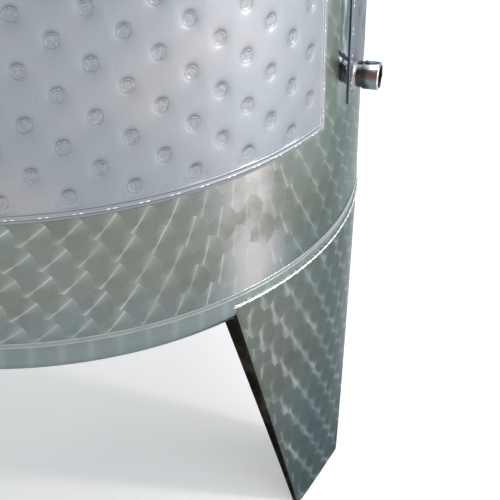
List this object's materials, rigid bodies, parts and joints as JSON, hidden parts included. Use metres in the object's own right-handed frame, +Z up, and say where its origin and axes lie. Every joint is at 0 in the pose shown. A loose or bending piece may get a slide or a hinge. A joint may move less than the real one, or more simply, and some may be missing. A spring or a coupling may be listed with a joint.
{
  "type": "jacketed tank",
  "caption": "Upright stainless tank with dished ends, a dimple cooling jacket round its wall, screwed jacket pipes, a lidded manhole, a bottom drain and folded sheet legs.",
  "frame": {"origin": "on the floor, on the tank's axis", "axes": "+Z up along the tank's axis; leg_3 stands on the -X side, leg_1 and leg_2 on the +X side; the jacket's pipes point between +X and -Y, above leg_1"},
  "size_m": [0.8009, 0.801, 1.8932],
  "materials": {
    "marbled_steel": "circle-polished stainless steel, satin",
    "jacket_steel": "matt rolled stainless sheet with ring welds",
    "plain_steel": "satin stainless sheet",
    "weld_steel": "planished weld",
    "polished_steel": "turned and polished stainless steel",
    "gasket_rubber": "matt black rubber",
    "vent_plastic": "moulded plastic, light grey"
  },
  "bodies": {
    "root": {"shell": "marbled_steel", "bottom_seam_weld": "weld_steel", "top_seam_weld": "weld_steel", "bottom_head": "plain_steel", "top_head": "plain_steel", "jacket": "jacket_steel", "lower_nipple": "polished_steel", "upper_nipple": "polished_steel", "leg_1": "marbled_steel", "leg_2": "marbled_steel", "leg_3": "marbled_steel", "manhole_neck": "plain_steel", "manhole_gasket": "gasket_rubber", "manhole_lid": "plain_steel", "closing_ring": "polished_steel", "ring_lever": "polished_steel", "lid_handle": "polished_steel", "vent_body": "polished_steel", "vent_cap": "vent_plastic", "drain": "polished_steel"}
  },
  "joints": []
}
